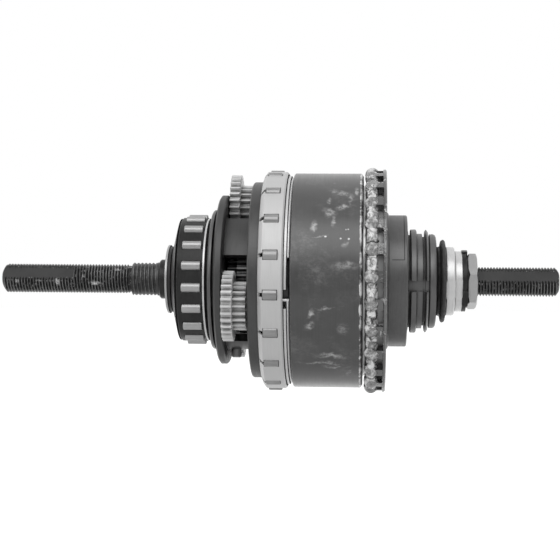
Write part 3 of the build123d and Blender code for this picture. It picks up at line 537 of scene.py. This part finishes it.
def new_piece(name, mesh, material, body):
    piece = bpy.data.objects.new(name, mesh)
    bpy.context.scene.collection.objects.link(piece)
    mesh.materials.append(material)
    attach(piece, body)
    return piece


def lofted(name, rings, capped=True):
    """A mesh through rings of points, each ring closed on itself."""
    mesh = bpy.data.meshes.new(name)
    built = bmesh.new()
    rows = [[built.verts.new(p) for p in ring] for ring in rings]
    count = len(rows[0])
    for low, high in zip(rows, rows[1:]):
        for i in range(count):
            j = (i + 1) % count
            built.faces.new((low[i], low[j], high[j], high[i]))
    if capped:
        built.faces.new(rows[0])
        built.faces.new(rows[-1])
    bmesh.ops.recalc_face_normals(built, faces=built.faces)
    for face in built.faces:
        face.smooth = len(face.verts) == 4
    built.to_mesh(mesh)
    built.free()
    return mesh


def weld(mesh):
    """Joins a mesh's vertices where they lie in the same place."""
    welded = bmesh.new()
    welded.from_mesh(mesh)
    bmesh.ops.remove_doubles(welded, verts=welded.verts, dist=1e-7)
    welded.to_mesh(mesh)
    welded.free()


def thread_profile(turns, depth):
    """How far a V thread's surface lies under its crest, with the crest and the root rounded."""
    saw = abs(2 * (turns - floor(turns)) - 1)
    return depth * (0.5 - 0.5 * cos(pi * min(1.0, max(0.0, 1.25 * saw - 0.12))))


def tip_radius(inset, length, end):
    """The radius near a tip of the axle, which a ball centred on the axis rounds off."""
    reach = (FINE_THREAD[0]**2 - end**2 + length**2) / (2 * length)
    return sqrt(max(0.0, end**2 + reach**2 - (reach - min(inset, length))**2))


def axle_radius(x, angle):
    """The threaded axle's radius, with its flats and rounded tips."""
    coarse = COARSE_SPAN[0] <= x <= COARSE_SPAN[1]
    major, pitch, depth = COARSE_THREAD if coarse else FINE_THREAD
    if COARSE_SPAN[1] < x < 0:
        major, depth = COLLAR_RADIUS, 0.0
    radius = major - thread_profile(x / pitch - angle / (2 * pi), depth)
    if RUNOUT < x < COARSE_SPAN[0]:
        fade = min(1.0, (x - RUNOUT) / (COARSE_SPAN[0] - RUNOUT) * 1.6)
        radius += (major - 0.9 * depth - radius) * fade
    inset = cad_box[1][0] - abs(x)
    length, end = TIPS[1 if x > 0 else -1]
    if inset < length:
        radius = min(radius, tip_radius(inset, length, end))
    if x < LEFT_FLAT_END or x > 0:
        lean = abs(cos(angle - FLAT_ANGLE))
        radius = min(radius, FLAT_DISTANCE / max(lean, 0.05))
    return radius


def threaded_end(name, start, stop):
    """A stretch of the axle with its real thread."""
    steps = int(abs(stop - start) / STEP)
    angles = [2 * pi * k / AROUND for k in range(AROUND)]
    rings = []
    for i in range(steps + 1):
        x = start + (stop - start) * i / steps
        radii = [axle_radius(x, a) for a in angles]
        rings.append([(x, r * cos(a), r * sin(a)) for a, r in zip(angles, radii)])
    return lofted(name, rings)


def axle_core():
    """The stretch of the axle that carries the gears, between its two threaded ends."""
    mesh = bpy.data.meshes.new("axle_core")
    built = bmesh.new()
    built.from_mesh(frame["nodes"]["axle"].data)
    for x, side in ((GROOVE_START, -1), (RIGHT_JOIN, 1)):
        bmesh.ops.bisect_plane(built, geom=built.verts[:] + built.edges[:] + built.faces[:],
                               plane_co=(x, 0, 0), plane_no=(side, 0, 0), clear_outer=True)
    bmesh.ops.holes_fill(built, edges=[e for e in built.edges if e.is_boundary])
    built.to_mesh(mesh)
    built.free()
    mesh.materials.clear()
    return mesh


def make_axle():
    material = MATERIALS["steel_axle"]
    end = cad_box[1][0]
    core = new_piece("axle_core", axle_core(), material, "axle_set")
    left = threaded_end("axle_left_threads", -end, GROOVE_START)
    right = threaded_end("axle_right_thread", RIGHT_JOIN, end)
    new_piece("axle_left_threads", left, material, "axle_set")
    new_piece("axle_right_thread", right, material, "axle_set")
    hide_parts("axle")


def make_grease():
    """A lumpy bead of grease round the large bearing, with the balls standing out of it."""
    low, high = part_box("bearing_balls")
    middle = (low.x + high.x) / 2
    circle = high.z - (high.x - low.x) / 2
    around, section = 520, 28  # points round the axle, and round the bead
    thickness, unevenness = 1.55, 0.62  # the bead's radius in millimetres, and how far it varies
    rings = []
    for i in range(around):
        turn = 2 * pi * i / around
        ring = []
        for k in range(section):
            angle = 2 * pi * k / section
            spot = Vector((circle * cos(turn), circle * sin(turn), 0.004 * k / section)) * 420
            lump = noise.fractal(spot + Vector((0, 0, 3.0 * sin(angle))), 0.8, 2.1, 4)
            size = (thickness + unevenness * max(-0.6, min(0.9, lump))) * MM
            r = circle - 0.35 * MM + size * sin(angle)
            x = middle + 0.1 * MM + size * 1.02 * cos(angle)
            x = max(x, low.x + 0.05 * MM + 0.15 * MM * lump)
            ring.append((x, r * cos(turn), r * sin(turn)))
        rings.append(ring)
    rings.append(rings[0])
    mesh = lofted("bearing_grease", rings, capped=False)
    weld(mesh)
    return new_piece("bearing_grease", mesh, GREASE, "large_bearing")


def make_dust_seal():
    """The rubber seal over the right cone: a collar and a lip that is slightly lumpy from dirt."""
    low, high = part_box("dust_seal")
    outer, inner = high.z, 9.4 * MM
    around, lump_scale, lump_height = 240, 7, 0.32 * MM
    # Where each point of the section lies along the seal's width, and its radius
    section = ((0.0, inner), (0.0, 11.2 * MM), (0.2, 11.4 * MM), (0.36, 11.5 * MM), (0.40, outer - 1.2 * MM),
               (0.46, outer - 0.5 * MM), (0.58, outer - 0.12 * MM), (0.70, outer), (0.84, outer - 0.15 * MM),
               (0.95, outer - 0.6 * MM), (1.0, outer - 1.6 * MM), (1.0, inner))
    rings = []
    for i in range(around + 1):
        turn = 2 * pi * (i % around) / around
        ring = []
        for along, radius in section:
            spot = Vector((cos(turn), sin(turn), along)) * lump_scale
            on_lip = along > 0.3 and radius > inner
            lump = noise.fractal(spot, 0.9, 2.1, 4) * lump_height if on_lip else 0.0
            radius = min(outer, radius + lump - 0.1 * MM) if lump else radius
            x = low.x + (high.x - low.x) * along
            ring.append((x, radius * cos(turn), radius * sin(turn)))
        rings.append(ring)
    mesh = lofted("dust_seal_lumpy", rings, capped=False)
    weld(mesh)
    piece = new_piece("dust_seal_lumpy", mesh, MATERIALS["dark_seal"], "axle_set")
    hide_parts("dust_seal")


def soften(node, width):
    """Replaces a CAD node with the same shape, with small rounded bevels on its sharp edges."""
    built = bmesh.new()
    built.from_mesh(frame["nodes"][node].data)
    bmesh.ops.remove_doubles(built, verts=built.verts, dist=1e-7)
    bmesh.ops.dissolve_limit(built, angle_limit=radians(0.5), verts=built.verts, edges=built.edges)
    for face in built.faces:
        face.smooth = True
    mesh = bpy.data.meshes.new(f"{node}_rounded")
    built.to_mesh(mesh)
    built.free()
    if "custom_normal" in mesh.attributes:
        mesh.attributes.remove(mesh.attributes["custom_normal"])
    mesh.materials.clear()
    piece = new_piece(f"{node}_rounded", mesh, material_of(node), BODY_OF[node])
    bevel = piece.modifiers.new("bevels", "BEVEL")
    bevel.width = width
    bevel.segments = 2
    bevel.limit_method = "ANGLE"
    bevel.angle_limit = radians(32)  # gear flanks stay smooth below this
    bevel.harden_normals = True
    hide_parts(node)


def soften_all():
    for width, names in BEVELS.items():
        for node in names:
            soften(node, width * MM)


# ---- room, light and camera

def make_floor():
    bpy.ops.mesh.primitive_circle_add(vertices=96, radius=FLOOR_RADIUS, fill_type="NGON",
                                      location=(0, 0, cad_box[0][2] - FLOOR_DROP))
    surface = bpy.context.object
    surface.name = "floor"
    shader = Shader("pale_floor")
    patch = shader.ramp(shader.noise(shader.place(), 6.0, 3.0), 0.3, 0.7)
    shader.feed(shader.surface.inputs["Base Color"], shader.mix(patch, grey(0.66), grey(0.70)))
    shader.feed(shader.surface.inputs["Roughness"], 0.85)
    seen = shader.node("ShaderNodeLightPath").outputs["Is Camera Ray"]
    behind = shader.ramp(shader.split(shader.place())[1], 0.0, 0.25)
    glow = shader.math("MULTIPLY", shader.math("MAXIMUM", seen, behind), FLOOR_GLOW)
    shader.feed(shader.surface.inputs["Emission Color"], grey(1.0))
    shader.feed(shader.surface.inputs["Emission Strength"], glow)
    surface.data.materials.append(shader.material)


def add_softbox(name, size, power, place, target=(0, 0, 0)):
    light = bpy.data.lights.new(name, "AREA")
    light.shape = "RECTANGLE"
    light.size, light.size_y = size
    light.energy = power
    holder = bpy.data.objects.new(name, light)
    holder.location = place
    aim = Vector(target) - Vector(place)
    holder.rotation_euler = aim.to_track_quat("-Z", "Y").to_euler()
    bpy.context.scene.collection.objects.link(holder)


def light_room():
    world = bpy.data.worlds.new("white_room")
    world.use_nodes = True
    tree = world.node_tree
    split = tree.nodes.new("ShaderNodeSeparateXYZ")
    tree.links.new(tree.nodes.new("ShaderNodeTexCoord").outputs["Generated"], split.inputs[0])
    shade = tree.nodes.new("ShaderNodeMapRange")
    shade.interpolation_type = "SMOOTHSTEP"
    shade.inputs["From Min"].default_value = -0.9
    shade.inputs["From Max"].default_value = 0.5
    shade.inputs["To Min"].default_value = ROOM_FRONT
    shade.inputs["To Max"].default_value = ROOM_BACK
    tree.links.new(split.outputs["Y"], shade.inputs["Value"])
    seen = tree.nodes.new("ShaderNodeLightPath").outputs["Is Camera Ray"]
    brighter = tree.nodes.new("ShaderNodeMath")
    brighter.operation = "MAXIMUM"
    tree.links.new(shade.outputs[0], brighter.inputs[0])
    tree.links.new(seen, brighter.inputs[1])
    tree.nodes["Background"].inputs["Color"].default_value = grey(1.0)
    tree.links.new(brighter.outputs[0], tree.nodes["Background"].inputs["Strength"])
    bpy.context.scene.world = world
    add_softbox("top_softbox", (0.8, 0.45), 1.7, (0.0, -0.50, 0.50))
    add_softbox("left_softbox", (0.25, 0.4), 0.45, (-0.5, -0.35, 0.2))
    bpy.context.scene.view_settings.view_transform = "Standard"


def add_camera():
    lens = bpy.data.cameras.new("camera")
    lens.lens = FOCAL
    lens.sensor_width = SENSOR
    lens.clip_start = 0.01
    camera = bpy.data.objects.new("camera", lens)
    camera.location = (VIEW_X, -VIEW_DISTANCE, 0)
    camera.rotation_euler = Euler((radians(90), radians(ROLL), radians(YAW)))
    bpy.context.scene.collection.objects.link(camera)
    bpy.context.scene.camera = camera


dress_frame()
make_axle()
soften_all()
make_grease()
make_dust_seal()
make_floor()
light_room()
add_camera()
